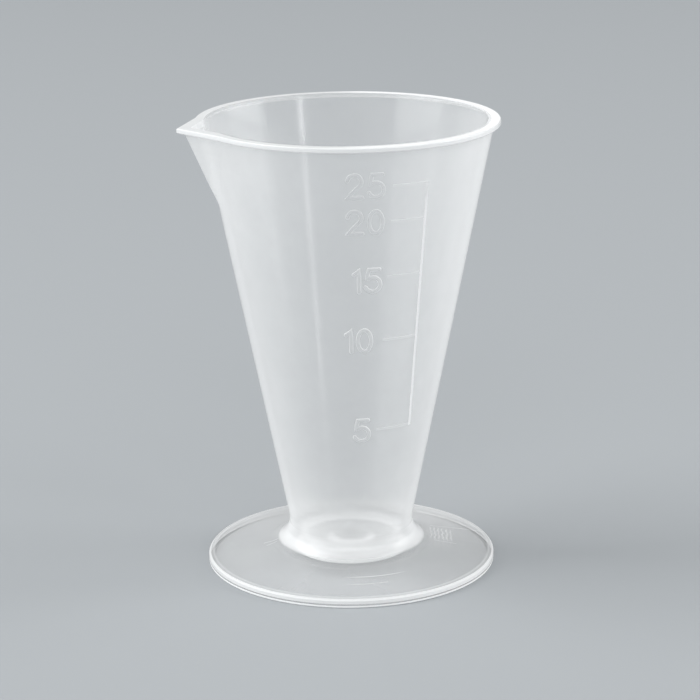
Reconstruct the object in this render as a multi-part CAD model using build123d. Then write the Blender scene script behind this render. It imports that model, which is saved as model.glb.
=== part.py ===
from build123d import *
from math import asin, cos, pi, sin, tan
import os

# Conical measuring cup moulded in one piece, 25 ml, on a round hollow foot.
# Millimetres, +Z up. The origin is on the cup's axis, in the plane the foot stands on.

# Sizes of the cup
cup_height = 60.9
rim_radius = 19.35
cone_foot_radius = 7.16
wall_thickness = 1.0
floor_height = 2.72
floor_thickness = 1.0
floor_corner_radius = 0.8

# Sizes of the foot
foot_radius = 19.5
foot_edge_height = 1.15
foot_slope = 9.6
foot_thickness = 1.0
foot_ring_width = 0.9
neck_radius = 3.2
foot_top_bevel = 0.2
foot_bottom_bevel = 0.1

# Sizes of the parting groove round the foot's edge
groove_height = 0.42
groove_width = 0.22
groove_depth = 0.1

# Sizes of the dome in the floor, which stands over the gate
dome_radius = 3.1
dome_rise = 0.9
dome_edge_radius = 0.5
dimple_radius = 2.7
gate_radius = 0.7
gate_length = 0.45

# Sizes of the rim's lip
lip_overhang = 0.75
lip_thickness = 0.65
lip_rounding = 0.18
lip_bottom_bevel = 0.12
mouth_bevel = 0.12

# Sizes of the pouring beak, a V in plan
beak_direction = 195.5
beak_length = 2.77
beak_bite = 0.25
beak_slope = 23.65
beak_wall = 1.0
beak_lip_overhang = 0.65
nose_radius = 0.4
notch_radius = 0.3
keel_radius = 0.4
keel_blend_radius = 8.0
valley_radius = 0.5
valley_blend_radius = 8.0

# Sizes of the raised scale
mark_width = 0.28
mark_height = 0.15
tick_length = 4.38
scale_line_x = 7.77
scale_line_lean = 3.76
tick_heights = {5: 21.66, 10: 34.53, 15: 43.32, 20: 50.8, 25: 55.58}

# Allowances: how far joined solids reach into each other, and how far a cut runs past a face
overlap = 0.1
overrun = 1.0
mouth_overrun = 0.2
beak_run_in = 3.0
mark_root = 0.3
tolerance = 0.01

cone_rate = (rim_radius - cone_foot_radius) / cup_height
cone_slant = (1 + cone_rate**2) ** 0.5
level_wall = wall_thickness * cone_slant
foot_rate = tan(foot_slope * pi / 180)


def cone_radius(height):
    """Outer radius of the cone at a height."""
    return cone_foot_radius + height * cone_rate


def foot_top(radius):
    """Height of the foot's upper face at a radius."""
    return foot_edge_height + (foot_radius - radius) * foot_rate


def turned(points, roundings=(), bevels=()):
    """A solid turned about Z from a section of (radius, height) points, some corners rounded or bevelled."""
    corners = [Vector(radius, 0, height) for radius, height in points]
    section = make_face(Polyline(*corners, close=True))
    for index, rounding in roundings:
        corner = section.vertices().sort_by_distance(corners[index])[0]
        section = fillet(corner, rounding)
    for index, bevel in bevels:
        corner = section.vertices().sort_by_distance(corners[index])[0]
        section = chamfer(corner, bevel)
    return revolve(section, Axis.Z)


# Cone and foot as one full body
cross_rate = foot_rate * cone_rate
root_radius = (cone_radius(foot_edge_height) + foot_radius * cross_rate) / (1 + cross_rate)
body = turned(
    [
        (0, 0),
        (foot_radius, 0),
        (foot_radius, foot_edge_height),
        (root_radius, foot_top(root_radius)),
        (rim_radius, cup_height),
        (0, cup_height),
    ],
    roundings=[(3, neck_radius)],
    bevels=[(2, foot_top_bevel), (1, foot_bottom_bevel)],
)

# Hollow under the foot: the edge stands as a ring, the rest rises as a shallow cone
hollow_radius = foot_radius - foot_ring_width
foot_drop = foot_thickness / cos(foot_slope * pi / 180)
roof_height = floor_height - floor_thickness
roof_radius = foot_radius - (roof_height + foot_drop - foot_edge_height) / foot_rate
hollow = turned(
    [
        (0, -overrun),
        (hollow_radius, -overrun),
        (hollow_radius, foot_top(hollow_radius) - foot_drop),
        (roof_radius, roof_height),
        (0, roof_height),
    ]
)

# Cavity of the cup, carried on a little past the mouth
cavity_top = cup_height + mouth_overrun
cavity = turned(
    [
        (0, floor_height),
        (cone_radius(floor_height) - level_wall, floor_height),
        (cone_radius(cavity_top) - level_wall, cavity_top),
        (0, cavity_top),
    ],
    roundings=[(1, floor_corner_radius)],
)


# Dome in the floor over the gate, and the dimple below it
def cap(radius, rise, height):
    """A cap of a ball that stands on a level circle."""
    ball = (radius**2 + rise**2) / (2 * rise)
    whole = Pos(0, 0, height + rise - ball) * Sphere(ball)
    upper_part = Cylinder(ball, ball, align=(Align.CENTER, Align.CENTER, Align.MIN))
    return whole & Pos(0, 0, height - overlap) * upper_part


dome = cap(dome_radius, dome_rise, floor_height)
dimple = cap(dimple_radius, dome_rise, roof_height)
gate_top = roof_height + dome_rise
gate_mark = Cylinder(gate_radius, gate_length + overlap, align=(Align.CENTER, Align.CENTER, Align.MAX))
gate = Pos(0, 0, gate_top + overlap) * gate_mark

# Pouring beak: a V pushed along the slant of its keel, outside and inside
# At the rim its flanks pass just within the cone's circle, by the bite
keel_rate = tan(beak_slope * pi / 180)
beak_reach = rim_radius + beak_length
half_angle = asin((rim_radius - beak_bite) / beak_reach)


def vee(reach, height):
    """A V in plan with its point at this reach, and flanks that end where they are closest to the axis."""
    flank = reach * cos(half_angle)
    back = reach - flank * cos(half_angle)
    side = flank * sin(half_angle)
    outline = Polyline((reach, 0, height), (back, side, height), (back, -side, height), close=True)
    return Rot(0, 0, beak_direction) * make_face(outline)


def beak(reach, top, depth):
    """The V at the reach it has at the rim's height, slanting in as it goes down from the top."""
    raised = vee(reach + (top - cup_height) * keel_rate, top)
    slant = Vector(-keel_rate, 0, -1).rotate(Axis.Z, beak_direction)
    return extrude(raised, amount=depth * slant.length, dir=slant)


# The keel meets the cone at these depths, outside and, a wall further in, inside
keel_depth = beak_length / (keel_rate - cone_rate)
flank_lean = keel_rate * sin(half_angle)
level_beak_wall = beak_wall * (1 + flank_lean**2) ** 0.5 / sin(half_angle)
valley_reach = beak_reach - level_beak_wall
valley_depth = (valley_reach - rim_radius + level_wall) / (keel_rate - cone_rate)
outer_beak = beak(beak_reach, cup_height, keel_depth + beak_run_in)
inner_beak = beak(valley_reach, cavity_top, valley_depth + beak_run_in)


def keel_edge(shape, reach):
    """The sloping straight edge that passes through the beak's point on the rim's plane."""
    start = Vector(reach, 0, cup_height).rotate(Axis.Z, beak_direction)
    straight = shape.edges().filter_by(GeomType.LINE)
    sloping = straight.filter_by(lambda edge: abs((edge @ 0).Z - (edge @ 1).Z) > tolerance)
    return sloping.sort_by_distance(start)[0]


def blend_edges(shape):
    """The curved edges where the beak's flanks and rounded keel run out on the cone."""
    upper = shape.edges().filter_by(lambda edge: min((edge @ 0).Z, (edge @ 1).Z) > cup_height / 2)
    sunken = upper.filter_by(lambda edge: min((edge @ 0).Z, (edge @ 1).Z) < cup_height - lip_thickness)
    return sunken.filter_by(lambda edge: edge.geom_type not in (GeomType.LINE, GeomType.CIRCLE))


outer = body + outer_beak
outer = fillet(keel_edge(outer, beak_reach), keel_radius)
outer = fillet(blend_edges(outer), keel_blend_radius)
inner = cavity + inner_beak
inner = fillet(keel_edge(inner, valley_reach), valley_radius)
inner = fillet(blend_edges(inner), valley_blend_radius)

# Lip round the rim, which runs out to a point along the beak
lip_radius = rim_radius + lip_overhang
nose_reach = beak_reach + beak_lip_overhang / sin(half_angle)
plan = Circle(lip_radius) + vee(nose_reach, 0)
corners = plan.vertices().sort_by(lambda corner: corner.X**2 + corner.Y**2)
tips = [corner for corner in corners if Vector(*corner).length > lip_radius + tolerance]
notches = [corner for corner in corners if Vector(*corner).length <= lip_radius + tolerance]
plan = fillet(tips, nose_radius)
notches = [plan.vertices().sort_by_distance(corner)[0] for corner in notches]
plan = fillet(notches, notch_radius)
lip = Pos(0, 0, cup_height - lip_thickness) * extrude(plan, lip_thickness)

# Parting groove round the foot's edge, a shallow V
groove = turned(
    [
        (foot_radius + overrun, groove_height - groove_width / 2),
        (foot_radius, groove_height - groove_width / 2),
        (foot_radius - groove_depth, groove_height),
        (foot_radius, groove_height + groove_width / 2),
        (foot_radius + overrun, groove_height + groove_width / 2),
    ]
)

cup = outer + lip - hollow - dimple - groove - inner + dome + gate


def level_face(shape, height):
    """The flat face that lies level at a height."""
    flats = shape.faces().filter_by(Plane.XY)
    return flats.filter_by(lambda face: abs(face.center().Z - height) < tolerance).sort_by(SortBy.AREA)[-1]


# Edges of the lip, over and under, of the mouth, and of the dome
cup = fillet(level_face(cup, cup_height).outer_wire().edges(), lip_rounding)
cup = chamfer(level_face(cup, cup_height).inner_wires()[0].edges(), mouth_bevel)
cup = chamfer(level_face(cup, cup_height - lip_thickness).outer_wire().edges(), lip_bottom_bevel)
cup = fillet(level_face(cup, floor_height).inner_wires()[0].edges(), dome_edge_radius)

# Raised scale, cut into the mould straight from the front, so its line is straight when seen from there
lean = tan(scale_line_lean * pi / 180)
lowest = min(tick_heights.values())
highest = max(tick_heights.values())


def line_x(height):
    """How far right of the axis the scale's long line stands at a height."""
    return scale_line_x + (height - lowest) * lean


half = mark_width / 2
foot_of_line = (line_x(lowest), lowest - half)
head_of_line = (line_x(highest), highest + half)
marks = make_face(
    Polyline(
        (foot_of_line[0] - half, foot_of_line[1]),
        (foot_of_line[0] + half, foot_of_line[1]),
        (head_of_line[0] + half, head_of_line[1]),
        (head_of_line[0] - half, head_of_line[1]),
        close=True,
    )
)
for height in tick_heights.values():
    tick = Rectangle(tick_length, mark_width, align=(Align.MAX, Align.CENTER))
    marks += Pos(line_x(height), height) * tick
engraving = extrude(Plane.XZ * marks, rim_radius)
rise = mark_height * cone_slant
band_foot = lowest - overrun
band_head = highest + overrun
skin = turned(
    [
        (cone_radius(band_foot) - mark_root, band_foot),
        (cone_radius(band_foot) + rise, band_foot),
        (cone_radius(band_head) + rise, band_head),
        (cone_radius(band_head) - mark_root, band_head),
    ]
)
cup = cup + (engraving & skin)

cup = cup.solids()[0]
cup.label = "measuring_cup"
os.makedirs("parts", exist_ok=True)
export_step(cup, "parts/measuring_cup.step")
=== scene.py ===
import math

import bmesh
import bpy
from mathutils import Matrix, Quaternion, Vector


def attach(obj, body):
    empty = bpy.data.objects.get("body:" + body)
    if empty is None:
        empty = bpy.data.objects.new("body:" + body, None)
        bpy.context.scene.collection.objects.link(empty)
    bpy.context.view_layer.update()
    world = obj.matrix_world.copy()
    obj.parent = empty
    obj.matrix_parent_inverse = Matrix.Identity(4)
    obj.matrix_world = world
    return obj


# Measuring cup of milky translucent plastic, on a pale grey floor.
# Metres, +Z up, -Y towards the viewer.

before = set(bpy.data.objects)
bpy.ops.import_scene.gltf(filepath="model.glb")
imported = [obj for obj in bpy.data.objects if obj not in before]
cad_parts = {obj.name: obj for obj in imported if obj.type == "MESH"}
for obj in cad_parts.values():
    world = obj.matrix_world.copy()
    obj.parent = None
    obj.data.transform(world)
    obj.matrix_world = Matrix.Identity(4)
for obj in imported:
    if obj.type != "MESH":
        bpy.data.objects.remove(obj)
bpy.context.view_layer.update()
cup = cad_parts["measuring_cup"]

MM = 0.001


def mm(*values):
    """Millimetres as metres."""
    return tuple(value * MM for value in values)


# Camera: aimed at the middle of the cup, turned a little about its own line of sight
AIM_HEIGHT = 31.2 * MM
CAMERA_DISTANCE = 329.6 * MM
CAMERA_PITCH = math.radians(15.8)
CAMERA_ROLL = math.radians(-0.525)
CAMERA_LENS = 126.37
CAMERA_SHIFT = (0.0009, -0.0193)
SENSOR_WIDTH = 36.0
NEAREST_SEEN = 0.01
FURTHEST_SEEN = 20.0

# Colours, all linear
GROUND_COLOUR = (0.362, 0.379, 0.393, 1.0)
PLASTIC_COLOUR = (0.95, 0.955, 0.955, 1.0)
SKY_COLOUR = (0.95, 0.98, 1.0, 1.0)
LAMP_COLOUR = (1.0, 1.0, 1.0)

GROUND_REACH = 4.0
GROUND_ROUGHNESS = 0.9
SKY_STRENGTH = 0.42

# Lamps: azimuth from +X and elevation in degrees, width and height, power in watts
LAMP_DISTANCE = 2.0
LAMPS = {
    "left_lamp": (180.0, 46.0, (1.3, 1.4), 29.0),
    "left_wing": (205.0, 14.5, (1.6, 1.0), 7.5),
    "right_lamp": (8.0, 18.0, (1.6, 1.1), 13.5),
    "right_wing": (325.0, 45.0, (1.0, 1.0), 7.0),
    "right_spot": (5.0, 32.0, (0.5, 0.5), 6.0),
    "front_lamp": (270.0, 32.0, (1.6, 0.6), 11.5),
    "strip_lamp": (310.0, 9.0, (0.06, 0.4), 0.9),
    "rim_lamp": (86.5, 10.5, (0.24, 0.3), 0.25),
}

# The cone's outer radius at the ground, and how it grows with height, as in the CAD source
CONE_FOOT_RADIUS = 7.16 * MM
CONE_RATE = 0.20016

# Optical depth of the plastic's haze, met at each face: on the foot, and on the walls above it
FOOT_HAZE = 0.125
WALL_HAZE = 0.34

# Depths that come on top of these, part by part
LOW_WALL_HAZE = 0.3
FLOOR_HAZE = 0.5
CORNER_HAZE = 0.9
DOME_HAZE = 1.5
NECK_HAZE = 0.6
LIP_HAZE = 0.4
LIP_EDGE_HAZE = 1.3
EDGE_HAZE = 3.0
RING_HAZE = 0.1
TICK_HAZE = 0.12
# On the scale's long line the haze is raised well past the plastic's own, as a painted glint
LINE_HAZE_AND_GLINT = 2.2

# Soft steps where these parts start or end. In height:
CAVITY_START = mm(3.0, 3.4)
WALL_START = mm(2.9, 3.6)
LOW_WALL_END = mm(4.0, 13.0)
FLOOR_END = mm(3.4, 3.8)
CORNER_END = mm(3.6, 4.6)
DOME_END = mm(3.6, 4.0)
NECK_END = mm(3.9, 4.5)
LIP_START = mm(60.1, 60.35)
FOOT_EDGE_END = mm(1.3, 1.6)
# Where the painted glint along the foot's edge under its groove ends
LOWER_EDGE_GLINT_END = mm(0.4, 0.6)
SCALE_START = mm(20.0, 20.5)
SCALE_END = mm(57.5, 58.0)
TICK_FADING = mm(36.0, 42.0)
# The long line's painted glint fades out as it goes up
LINE_GLINT_FADING = mm(51.0, 55.0)
# In radius:
FLOOR_RIM = mm(6.8, 7.4)
EDGE_START = mm(19.2, 19.4)
RING_START = mm(18.7, 18.85)
# In the distance off the cone:
OUTER_SIDE = mm(-0.7, -0.3)
LIP_EDGE_START = mm(0.45, 0.65)
MARK_START = mm(0.04, 0.1)
# In y, and in x after the lean of the scale's long line is taken off
SCALE_SIDE = mm(-5.0, -3.0)
LINE_START = mm(6.15, 6.25)
LINE_RATE = 0.0657

# Bands: the middle, then how far from it they are full and where they end. In radius:
CORNER_BAND = mm(7.1, 0.5, 0.8)
DOME_BAND = mm(2.8, 0.1, 0.7)
RING_BAND = mm(18.8, 0.05, 0.25)
# In height:
# The groove in the foot's edge, kept clear as painted shade
GROOVE_SHADE_BAND = mm(0.42, 0.08, 0.14)
# The neck's thick part: its middle as radius and height, and its band round that
NECK_MIDDLE = mm(8.9, 3.4)
NECK_BAND = mm(0.7, 1.3)

# Least shares: at the far end of a fading, and on the foot's edge above its groove; below the
# groove the edge takes the full share as a painted glint
TICK_LEAST = 0.15
LINE_GLINT_LEAST = 0.1
FIGURE_LEAST = 0.4
UPPER_EDGE_HAZE_LEAST = 0.85
UPPER_EDGE_DENSE_LEAST = 0.05

# Cloudiness of the haze, and the waviness of the skin, both with their cells a metre
CLOUDING = 0.3
CLOUD_SCALE = 150.0
CLOUD_DETAIL = 3.0
BUMP_STRENGTH = 0.025
BUMP_HEIGHT = 0.02 * MM
BUMP_SCALE = 500.0
BUMP_DETAIL = 1.0

# Share of the haze that glows with light from behind, and the roughness of the rest
GLOW_SHARE = 0.4
MILK_ROUGHNESS = 0.4

# The Layer Weight node's blend that gives the plain cosine of the angle of view, and the least
# cosine that the haze is divided by
EVEN_BLEND = 0.5
LEAST_COSINE = 0.02

# Share of mirrored light face on, and what is added to it aslant; roughness of the glossy skin,
# and what is added to it on the foot and on the foot's edge
MIRROR_FACE_ON = 0.04
MIRROR_ASLANT = 0.7
MIRROR_POWER = 5.0
GLOSS_ROUGHNESS = 0.15
FOOT_ROUGHNESS = 0.15
EDGE_ROUGHNESS = 0.25
ROUGH_FOOT_END = mm(4.0, 9.0)
ROUGH_EDGE_START = mm(19.1, 19.3)

# Raised figures of the scale, in millimetres: left end and middle height of each number
FIGURES = {
    "5": (0.33, 21.6),
    "10": (-0.72, 34.53),
    "15": (0.34, 42.9),
    "20": (-0.45, 50.85),
    "25": (-0.43, 55.7),
}
FIGURE_STROKE = 0.56
FIGURE_LINE_HEIGHT = 3.0
FIGURE_GAP = 0.3

# Levels of a figure from its root up, in millimetres: how much narrower each side is, and its
# height off the cone
FIGURE_LEVELS = [(0.0, -0.1), (0.0, 0.026), (0.07, 0.0975), (0.17, 0.13)]

# How far a stroke's outer side may stand out at a sharp corner, for each unit of reach
OUTER_CORNER = 1.25

# The points of a straight run start at this share of it and cover this much of it, so that they
# stay clear of its sharp corners
RUN_STEPS = 4
RUN_START = 0.3
RUN_LENGTH = 0.4

# Degrees between the points of a round end
CAP_STEP = 30

# Haze of the figures, and their soft steps off the cone and in height
FIGURE_SIDE_HAZE = 0.9
FIGURE_TOP_HAZE = 0.45
FIGURE_SIDE_DENSE = 0.3
FIGURE_SIDE_END = mm(0.095, 0.125)
FIGURE_START = mm(-0.04, -0.01)
FIGURE_GLOSS_START = mm(0.05, 0.09)
FIGURE_FADING = mm(40.0, 53.0)

# Scratches on the foot: start and end in the plan and width, in millimetres, and depth of haze
SCRATCHES = [
    ((11.0, 4.74), (15.3, 5.3), 0.08, 0.4),
    ((15.0, 5.28), (16.1, 5.36), 0.09, 0.6),
    ((16.1, 5.36), (18.9, 5.3), 0.08, 0.35),
    ((-11.9, -1.6), (-8.6, -0.8), 0.09, 0.25),
    ((-11.5, -2.6), (-10.2, -1.9), 0.08, 0.2),
    ((11.4, -1.2), (14.3, -1.4), 0.07, 0.3),
]
SCRATCH_CORE = 0.2

# Arc on the foot: bands in radius and in azimuth, the latter in radians
ARC_RADIUS_BAND = mm(13.85, 0.02, 0.1)
ARC_AZIMUTH_BAND = (-1.34, 0.1, 0.35)
ARC_HAZE = 0.35

# Scuffed patch on the foot: bands in x and y, and the wave texture that draws its lines
SCUFF_X_BAND = mm(12.4, 1.0, 1.8)
SCUFF_Y_BAND = mm(1.7, 1.6, 2.8)
SCUFF_WAVES = {"Scale": 560.0, "Distortion": 3.0, "Detail": 2.0, "Detail Scale": 1.5}
SCUFF_LINES = (0.45, 0.95)
SCUFF_HAZE = 0.3

# Wear is on the foot alone, at this distance off the cone
WEAR_START = mm(2.0, 2.6)


def new_object(name, data):
    """A new object in the scene."""
    obj = bpy.data.objects.new(name, data)
    bpy.context.scene.collection.objects.link(obj)
    return obj


def mesh_object(name, bm, material):
    """A new object with the faces of a bmesh, which is freed, in one material."""
    mesh = bpy.data.meshes.new(name)
    bm.to_mesh(mesh)
    bm.free()
    mesh.materials.append(material)
    return new_object(name, mesh)


def new_material(name):
    """A node material with one Principled shader, and the two of them."""
    material = bpy.data.materials.new(name)
    material.use_nodes = True
    return material, material.node_tree.nodes["Principled BSDF"]


def make_camera():
    """The camera that sees the cup as the photograph does."""
    camera = bpy.data.cameras.new("camera")
    camera.sensor_width = SENSOR_WIDTH
    camera.lens = CAMERA_LENS
    camera.shift_x, camera.shift_y = CAMERA_SHIFT
    camera.clip_start = NEAREST_SEEN
    camera.clip_end = FURTHEST_SEEN
    obj = new_object("camera", camera)
    back = Vector((0.0, -math.cos(CAMERA_PITCH), math.sin(CAMERA_PITCH)))
    obj.location = Vector((0.0, 0.0, AIM_HEIGHT)) + back * CAMERA_DISTANCE
    turn = (-back).to_track_quat("-Z", "Y")
    obj.rotation_mode = "QUATERNION"
    obj.rotation_quaternion = turn @ Quaternion((0.0, 0.0, 1.0), CAMERA_ROLL)
    bpy.context.scene.camera = obj


def make_floor():
    """A wide flat pale floor."""
    material, shader = new_material("floor")
    shader.inputs["Base Color"].default_value = GROUND_COLOUR
    shader.inputs["Roughness"].default_value = GROUND_ROUGHNESS
    shader.inputs["Specular IOR Level"].default_value = 0.0
    bm = bmesh.new()
    bmesh.ops.create_grid(bm, x_segments=1, y_segments=1, size=GROUND_REACH)
    floor = mesh_object("floor", bm, material)


def make_light(name, azimuth, elevation, size, power):
    """A rectangular soft lamp in a direction from the cup, turned to the cup."""
    lamp = bpy.data.lights.new(name, "AREA")
    lamp.shape = "RECTANGLE"
    lamp.size, lamp.size_y = size
    lamp.energy = power
    lamp.color = LAMP_COLOUR
    around = math.radians(azimuth)
    upward = math.radians(elevation)
    level = math.cos(upward)
    outward = Vector((math.cos(around) * level, math.sin(around) * level, math.sin(upward)))
    obj = new_object(name, lamp)
    obj.location = Vector((0.0, 0.0, AIM_HEIGHT)) + outward * LAMP_DISTANCE
    obj.rotation_euler = outward.to_track_quat("Z", "Y").to_euler()


def make_lights():
    """An even pale room, and the soft lamps that stand round the cup."""
    world = bpy.data.worlds.new("room")
    bpy.context.scene.world = world
    world.use_nodes = True
    sky = world.node_tree.nodes["Background"]
    sky.inputs["Color"].default_value = SKY_COLOUR
    sky.inputs["Strength"].default_value = SKY_STRENGTH
    for name, (azimuth, elevation, size, power) in LAMPS.items():
        make_light(name, azimuth, elevation, size, power)


def plug(tree, socket, value):
    """Gives a socket its value, which is another node's output or a constant."""
    if isinstance(value, bpy.types.NodeSocket):
        tree.links.new(value, socket)
    else:
        socket.default_value = value


def math_node(tree, operation, *values):
    """A Math node on outputs or plain numbers, as its own output."""
    node = tree.nodes.new("ShaderNodeMath")
    node.operation = operation
    for socket, value in zip(node.inputs, values):
        plug(tree, socket, value)
    return node.outputs[0]


def vector_node(tree, operation, *values):
    """A Vector Math node on outputs or plain vectors."""
    node = tree.nodes.new("ShaderNodeVectorMath")
    node.operation = operation
    for socket, value in zip(node.inputs, values):
        plug(tree, socket, value)
    return node


def add(tree, first, second):
    """The sum of two values."""
    return math_node(tree, "ADD", first, second)


def times(tree, first, second):
    """The product of two values."""
    return math_node(tree, "MULTIPLY", first, second)


def minus(tree, first, second):
    """The difference of two values."""
    return math_node(tree, "SUBTRACT", first, second)


def greatest(tree, first, *others):
    """The greatest of some values."""
    for other in others:
        first = math_node(tree, "MAXIMUM", first, other)
    return first


def heaped(tree, base, *parts):
    """A base with parts heaped on it, each given as a share and the depth at the full share."""
    for share, depth in parts:
        base = math_node(tree, "MULTIPLY_ADD", share, depth, base)
    return base


def from_least(tree, share, least):
    """A share between 0 and 1, lifted so that it runs from the least value to 1."""
    return heaped(tree, least, (share, 1.0 - least))


def length(tree, first, second):
    """The length of a vector of two parts."""
    squares = add(tree, times(tree, first, first), times(tree, second, second))
    return math_node(tree, "SQRT", squares)


def rising(tree, value, low, high):
    """A soft step from 0 at low to 1 at high."""
    step = tree.nodes.new("ShaderNodeMapRange")
    step.interpolation_type = "SMOOTHSTEP"
    plug(tree, step.inputs["Value"], value)
    plug(tree, step.inputs["From Min"], low)
    plug(tree, step.inputs["From Max"], high)
    return step.outputs["Result"]


def falling(tree, value, low, high):
    """A soft step from 1 at low to 0 at high."""
    return minus(tree, 1.0, rising(tree, value, low, high))


def band(tree, value, middle, core, reach):
    """1 within the core of the middle, falling to 0 at the reach."""
    off = math_node(tree, "ABSOLUTE", minus(tree, value, middle))
    return falling(tree, off, core, reach)


def noise(tree, place, scale, detail):
    """Noise between 0 and 1, with this many cells a metre."""
    node = tree.nodes.new("ShaderNodeTexNoise")
    plug(tree, node.inputs["Vector"], place.point)
    plug(tree, node.inputs["Scale"], scale)
    plug(tree, node.inputs["Detail"], detail)
    return node.outputs["Fac"]


def mix_shaders(tree, share, first, second):
    """A Mix Shader of two shaders, with the share of the second."""
    mix = tree.nodes.new("ShaderNodeMixShader")
    for socket, value in zip(mix.inputs, (share, first, second)):
        plug(tree, socket, value)
    return mix.outputs["Shader"]


class Place:
    """Where a point of the surface lies: coordinates, radius, and distance off the cone."""

    def __init__(self, tree):
        self.point = tree.nodes.new("ShaderNodeTexCoord").outputs["Object"]
        split = tree.nodes.new("ShaderNodeSeparateXYZ")
        tree.links.new(self.point, split.inputs[0])
        self.x, self.y, self.z = split.outputs
        self.radius = length(tree, self.x, self.y)
        cone = math_node(tree, "MULTIPLY_ADD", self.z, CONE_RATE, CONE_FOOT_RADIUS)
        self.off_cone = minus(tree, self.radius, cone)


def scratch(tree, place, start, end, width):
    """A straight hairline between two points of the plan."""
    first = Vector((*start, 0.0)) * MM
    along = Vector((*end, 0.0)) * MM - first
    level = vector_node(tree, "MULTIPLY", place.point, (1.0, 1.0, 0.0)).outputs["Vector"]
    offset = vector_node(tree, "SUBTRACT", level, first).outputs["Vector"]
    share = vector_node(tree, "DOT_PRODUCT", offset, along / along.length_squared).outputs["Value"]
    inside = math_node(tree, "MINIMUM", greatest(tree, share, 0.0), 1.0)
    nearest = vector_node(tree, "SCALE", along)
    plug(tree, nearest.inputs["Scale"], inside)
    gap = vector_node(tree, "SUBTRACT", offset, nearest.outputs["Vector"]).outputs["Vector"]
    distance = vector_node(tree, "LENGTH", gap).outputs["Value"]
    return falling(tree, distance, SCRATCH_CORE * width, width)


def wear(tree, place):
    """The depth of fine scratches on the foot: a few lines, an arc and a scuffed patch."""
    parts = []
    for start, end, width, depth in SCRATCHES:
        parts.append((scratch(tree, place, start, end, width * MM), depth))

    azimuth = math_node(tree, "ARCTAN2", place.y, place.x)
    arc_ring = band(tree, place.radius, *ARC_RADIUS_BAND)
    parts.append((times(tree, arc_ring, band(tree, azimuth, *ARC_AZIMUTH_BAND)), ARC_HAZE))

    waves = tree.nodes.new("ShaderNodeTexWave")
    plug(tree, waves.inputs["Vector"], place.point)
    for setting, value in SCUFF_WAVES.items():
        plug(tree, waves.inputs[setting], value)
    lines = rising(tree, waves.outputs["Fac"], *SCUFF_LINES)
    scuff = times(tree, band(tree, place.x, *SCUFF_X_BAND), lines)
    scuff = times(tree, scuff, band(tree, place.y, *SCUFF_Y_BAND))
    parts.append((scuff, SCUFF_HAZE))

    return times(tree, heaped(tree, 0.0, *parts), rising(tree, place.off_cone, *WEAR_START))


def scale_marks(tree, place):
    """Where the scale's ticks and its long line are, each fading out as it goes up; the long line
    is also a painted glint.
    """
    start = rising(tree, place.z, *SCALE_START)
    height_band = times(tree, start, falling(tree, place.z, *SCALE_END))
    raised = times(tree, rising(tree, place.off_cone, *MARK_START), height_band)
    raised = times(tree, raised, falling(tree, place.y, *SCALE_SIDE))
    upright_x = math_node(tree, "MULTIPLY_ADD", place.z, -LINE_RATE, place.x)
    line = times(tree, raised, rising(tree, upright_x, *LINE_START))
    tick_fading = from_least(tree, falling(tree, place.z, *TICK_FADING), TICK_LEAST)
    line_glint_fading = from_least(tree, falling(tree, place.z, *LINE_GLINT_FADING), LINE_GLINT_LEAST)
    return times(tree, raised, tick_fading), times(tree, line, line_glint_fading)


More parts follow.
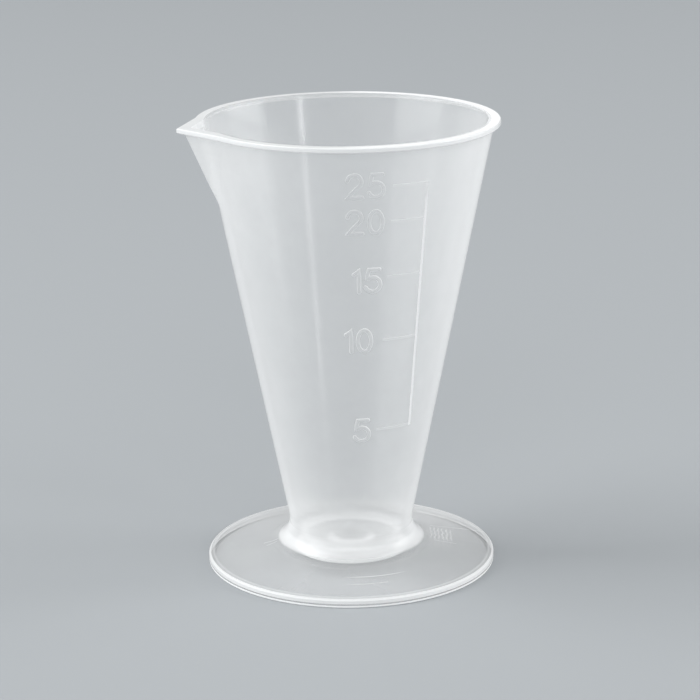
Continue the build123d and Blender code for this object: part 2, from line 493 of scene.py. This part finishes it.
def cup_haze(tree, place):
    """Over the cup: the haze's depth, how dense it is to light from behind, and its gloss."""
    z, radius, off_cone = place.z, place.radius, place.off_cone

    # Foot and walls; the cavity's side of a wall has no haze of its own
    outside = rising(tree, off_cone, *OUTER_SIDE)
    cavity = times(tree, minus(tree, 1.0, outside), rising(tree, z, *CAVITY_START))
    wall = rising(tree, z, *WALL_START)
    low_wall = times(tree, falling(tree, z, *LOW_WALL_END), wall)
    haze = heaped(tree, FOOT_HAZE, (wall, WALL_HAZE - FOOT_HAZE), (low_wall, LOW_WALL_HAZE))
    haze = times(tree, haze, minus(tree, 1.0, cavity))

    # Floor, corner between floor and wall, dome and neck
    floor = times(tree, falling(tree, radius, *FLOOR_RIM), falling(tree, z, *FLOOR_END))
    corner = times(tree, band(tree, radius, *CORNER_BAND), falling(tree, z, *CORNER_END))
    dome = times(tree, band(tree, radius, *DOME_BAND), falling(tree, z, *DOME_END))
    neck_radius, neck_height = NECK_MIDDLE
    neck_gap = length(tree, minus(tree, radius, neck_radius), minus(tree, z, neck_height))
    neck = times(tree, falling(tree, neck_gap, *NECK_BAND), falling(tree, z, *NECK_END))

    # Lip
    lip = rising(tree, z, *LIP_START)
    lip_edge = times(tree, lip, rising(tree, off_cone, *LIP_EDGE_START))

    # Foot's edge, over and under its groove, and the ring inside it; under the groove the edge
    # carries a painted glint
    low_foot = falling(tree, z, *FOOT_EDGE_END)
    edge = times(tree, rising(tree, radius, *EDGE_START), low_foot)
    # No haze in the groove, as painted shade that shows it darker
    edge = times(tree, edge, minus(tree, 1.0, band(tree, z, *GROOVE_SHADE_BAND)))
    lower_edge_glint = falling(tree, z, *LOWER_EDGE_GLINT_END)
    ring = times(tree, band(tree, radius, *RING_BAND), low_foot)
    ring_and_edge = times(tree, rising(tree, radius, *RING_START), low_foot)

    ticks, line = scale_marks(tree, place)
    haze = heaped(
        tree,
        haze,
        (floor, FLOOR_HAZE),
        (corner, CORNER_HAZE),
        (dome, DOME_HAZE),
        (neck, NECK_HAZE),
        (times(tree, lip, outside), LIP_HAZE),
        (lip_edge, LIP_EDGE_HAZE),
        (times(tree, edge, from_least(tree, lower_edge_glint, UPPER_EDGE_HAZE_LEAST)), EDGE_HAZE),
        (add(tree, ring, ring_and_edge), RING_HAZE),
        (ticks, TICK_HAZE),
        # the long line: its haze with a painted glint on top
        (line, LINE_HAZE_AND_GLINT),
    )
    cloud = noise(tree, place, CLOUD_SCALE, CLOUD_DETAIL)
    haze = times(tree, haze, heaped(tree, 1.0 - CLOUDING / 2, (cloud, CLOUDING)))
    haze = add(tree, haze, wear(tree, place))

    # The edge under its groove and the scale's long line are dense, with no glow, so they show
    # whiter as painted glints
    dense_edge_glint = times(tree, edge, from_least(tree, lower_edge_glint, UPPER_EDGE_DENSE_LEAST))
    return haze, greatest(tree, dense_edge_glint, dome, corner, line), 1.0


def figure_haze(tree, place):
    """Over a raised figure, the same three: its sides are dense, and what is sunk in is bare."""
    sides = falling(tree, place.off_cone, *FIGURE_SIDE_END)
    haze = heaped(tree, FIGURE_TOP_HAZE, (sides, FIGURE_SIDE_HAZE - FIGURE_TOP_HAZE))
    fading = from_least(tree, falling(tree, place.z, *FIGURE_FADING), FIGURE_LEAST)
    haze = times(tree, times(tree, haze, fading), rising(tree, place.off_cone, *FIGURE_START))
    gloss = rising(tree, place.off_cone, *FIGURE_GLOSS_START)
    return haze, times(tree, sides, FIGURE_SIDE_DENSE), gloss


def make_plastic(name, haze_of):
    """Milky plastic: a haze that looks denser where it is seen aslant, under a glossy skin."""
    material, milk = new_material(name)
    tree = material.node_tree
    place = Place(tree)
    haze, dense, glossy = haze_of(tree, place)

    facing = tree.nodes.new("ShaderNodeLayerWeight")
    facing.inputs["Blend"].default_value = EVEN_BLEND
    aslant = facing.outputs["Facing"]
    cosine = greatest(tree, minus(tree, 1.0, aslant), LEAST_COSINE)
    depth = math_node(tree, "DIVIDE", haze, cosine)
    clear_share = math_node(tree, "EXPONENT", times(tree, depth, -1.0))

    milk.inputs["Base Color"].default_value = PLASTIC_COLOUR
    milk.inputs["Roughness"].default_value = MILK_ROUGHNESS
    milk.inputs["Specular IOR Level"].default_value = 0.0
    glow = tree.nodes.new("ShaderNodeBsdfTranslucent")
    glow.inputs["Color"].default_value = PLASTIC_COLOUR
    glow_share = heaped(tree, GLOW_SHARE, (dense, -GLOW_SHARE))
    white = mix_shaders(tree, glow_share, milk.outputs["BSDF"], glow.outputs["BSDF"])
    clear = tree.nodes.new("ShaderNodeBsdfTransparent")
    film = mix_shaders(tree, clear_share, white, clear.outputs["BSDF"])

    bump = tree.nodes.new("ShaderNodeBump")
    bump.inputs["Strength"].default_value = BUMP_STRENGTH
    bump.inputs["Distance"].default_value = BUMP_HEIGHT
    plug(tree, bump.inputs["Height"], noise(tree, place, BUMP_SCALE, BUMP_DETAIL))
    edge = rising(tree, place.radius, *ROUGH_EDGE_START)
    foot_roughness = heaped(tree, FOOT_ROUGHNESS, (edge, EDGE_ROUGHNESS))
    foot_roughness = times(tree, foot_roughness, falling(tree, place.z, *ROUGH_FOOT_END))
    gloss = tree.nodes.new("ShaderNodeBsdfAnisotropic")
    plug(tree, gloss.inputs["Roughness"], add(tree, foot_roughness, GLOSS_ROUGHNESS))
    plug(tree, gloss.inputs["Normal"], bump.outputs["Normal"])

    grazing = math_node(tree, "POWER", aslant, MIRROR_POWER)
    mirror_share = times(tree, heaped(tree, MIRROR_FACE_ON, (grazing, MIRROR_ASLANT)), glossy)
    skin = mix_shaders(tree, mirror_share, film, gloss.outputs["BSDF"])
    tree.links.new(skin, tree.nodes["Material Output"].inputs["Surface"])
    return material


# The strokes of the figures are drawn in millimetres along their middle. Each digit starts at x 0
# and stands on the height 0.


def smooth(centre, radii, start, end, count):
    """Points on a part of an ellipse, from one angle to another in degrees."""
    points = []
    for step in range(count + 1):
        angle = math.radians(start + (end - start) * step / count)
        x = centre[0] + radii[0] * math.cos(angle)
        points.append((x, centre[1] + radii[1] * math.sin(angle)))
    return points


def sharp(*corners):
    """Points on straight runs through these corners."""
    points = [corners[0]]
    for (x, y), (next_x, next_y) in zip(corners, corners[1:]):
        for step in range(RUN_STEPS + 1):
            share = RUN_START + RUN_LENGTH * step / RUN_STEPS
            points.append((x + (next_x - x) * share, y + (next_y - y) * share))
        points.append((next_x, next_y))
    return points


def digit_strokes():
    """The stroke of each digit as (points, whether it is closed, width)."""
    top = FIGURE_LINE_HEIGHT

    one_width = 0.66
    one = [(0.0, top - 0.62)] + sharp((one_width, top), (one_width, 0.0))

    two_width, bow = 1.9, 0.87
    two = smooth((0.93, top - bow), (bow, bow), 172, -28, 18)
    two += sharp(two[-1], (0.02, 0.0), (two_width, 0.0))[1:]

    five_width, belly = 1.84, 0.98
    five = sharp((1.72, top), (0.4, top)) + [(0.265, 2.38), (0.13, 1.76)]
    five += smooth((0.88, belly), (0.96, belly), 108, -158, 22)

    nought_width = 1.7
    middle, radii = (nought_width / 2, top / 2), (nought_width / 2, top / 2)
    nought = smooth(middle, radii, 0, 360, 40)[:-1]

    return {
        "1": (one, False, one_width),
        "2": (two, False, two_width),
        "5": (five, False, five_width),
        "0": (nought, True, nought_width),
    }


def offsets(points, closed):
    """At each point of a stroke, the offsets of its left and right side for each unit of reach."""
    count = len(points)
    sides = []
    for index, point in enumerate(points):
        here = Vector(point)
        ways = []
        if index > 0 or closed:
            ways.append((here - Vector(points[index - 1])).normalized())
        if index < count - 1 or closed:
            ways.append((Vector(points[(index + 1) % count]) - here).normalized())
        normals = [Vector((-way.y, way.x)) for way in ways]
        middle = sum(normals, Vector((0.0, 0.0))).normalized()
        inner = 1.0 / middle.dot(normals[0])
        outer = min(inner, OUTER_CORNER)
        turns_left = ways[0].cross(ways[-1]) > 0.0
        left, right = (inner, outer) if turns_left else (outer, inner)
        sides.append((middle * left, middle * -right))
    return sides


def outline(points, closed, reach):
    """The left and the right side of a stroke at a reach from its middle, and its round ends."""
    sides = offsets(points, closed)
    left = [Vector(point) + side[0] * reach for point, side in zip(points, sides)]
    right = [Vector(point) + side[1] * reach for point, side in zip(points, sides)]
    if closed:
        return left, right, []
    caps = []
    for end, way in ((-1, sides[-1][0]), (0, sides[0][1])):
        cap = []
        for turn in range(CAP_STEP, 180, CAP_STEP):
            cap.append(Vector(points[end]) + Matrix.Rotation(math.radians(-turn), 2) @ way * reach)
        caps.append(cap)
    return left, right, caps


def raise_loop(bm, flats, left, bottom, height):
    """Vertices at a height off the cone, straight in front of points of a digit."""
    loop = []
    for flat in flats:
        x, z = left + flat.x, bottom + flat.y
        radius = CONE_FOOT_RADIUS / MM + CONE_RATE * z + height
        loop.append(bm.verts.new(Vector((x, -math.sqrt(radius**2 - x**2), z)) * MM))
    return loop


def skin_sides(bm, rings):
    """Faces between closed loops on neighbouring levels."""
    count = len(rings[0])
    for low, high in zip(rings, rings[1:]):
        for index in range(count):
            after = (index + 1) % count
            bm.faces.new((low[index], low[after], high[after], high[index]))


def cover(bm, left, right, caps):
    """Faces across a stroke, from side to side, and over its round ends if it has them."""
    count = len(left)
    for index in range(count - 1 if caps else count):
        after = (index + 1) % count
        bm.faces.new((left[index], left[after], right[after], right[index]))
    if caps:
        bm.faces.new([left[-1]] + caps[0] + [right[-1]])
        bm.faces.new([right[0]] + caps[1] + [left[0]])


def add_digit(bm, points, closed, left_end, bottom):
    """One digit as a closed body, from its root in the wall to its top."""
    levels = []
    for narrowing, height in FIGURE_LEVELS:
        left, right, caps = outline(points, closed, FIGURE_STROKE / 2 - narrowing)
        loops = [raise_loop(bm, flats, left_end, bottom, height) for flats in (left, right, *caps)]
        levels.append((loops[0], loops[1], loops[2:]))
    if closed:
        skin_sides(bm, [left for left, right, caps in levels])
        skin_sides(bm, [right for left, right, caps in levels])
    else:
        skin_sides(bm, [left + caps[0] + right[::-1] + caps[1] for left, right, caps in levels])
    cover(bm, *levels[0])
    cover(bm, *levels[-1])


def make_figure(number, left_end, middle_height, material):
    """One number of the scale, raised on the cone as if its mould were cut from the front."""
    bm = bmesh.new()
    strokes = digit_strokes()
    cursor = left_end + FIGURE_STROKE / 2
    bottom = middle_height - FIGURE_LINE_HEIGHT / 2
    for digit in number:
        points, closed, width = strokes[digit]
        add_digit(bm, points, closed, cursor, bottom)
        cursor += width + FIGURE_STROKE + FIGURE_GAP
    bmesh.ops.recalc_face_normals(bm, faces=bm.faces)
    figure = mesh_object(f"figure_{number}", bm, material)
    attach(figure, "root")


make_camera()
make_floor()
make_lights()
cup.data.materials.clear()
cup.data.materials.append(make_plastic("translucent_plastic", cup_haze))
raised_plastic = make_plastic("raised_plastic", figure_haze)
for number, (left_end, middle_height) in FIGURES.items():
    make_figure(number, left_end, middle_height, raised_plastic)

bpy.context.scene.view_settings.view_transform = "Standard"
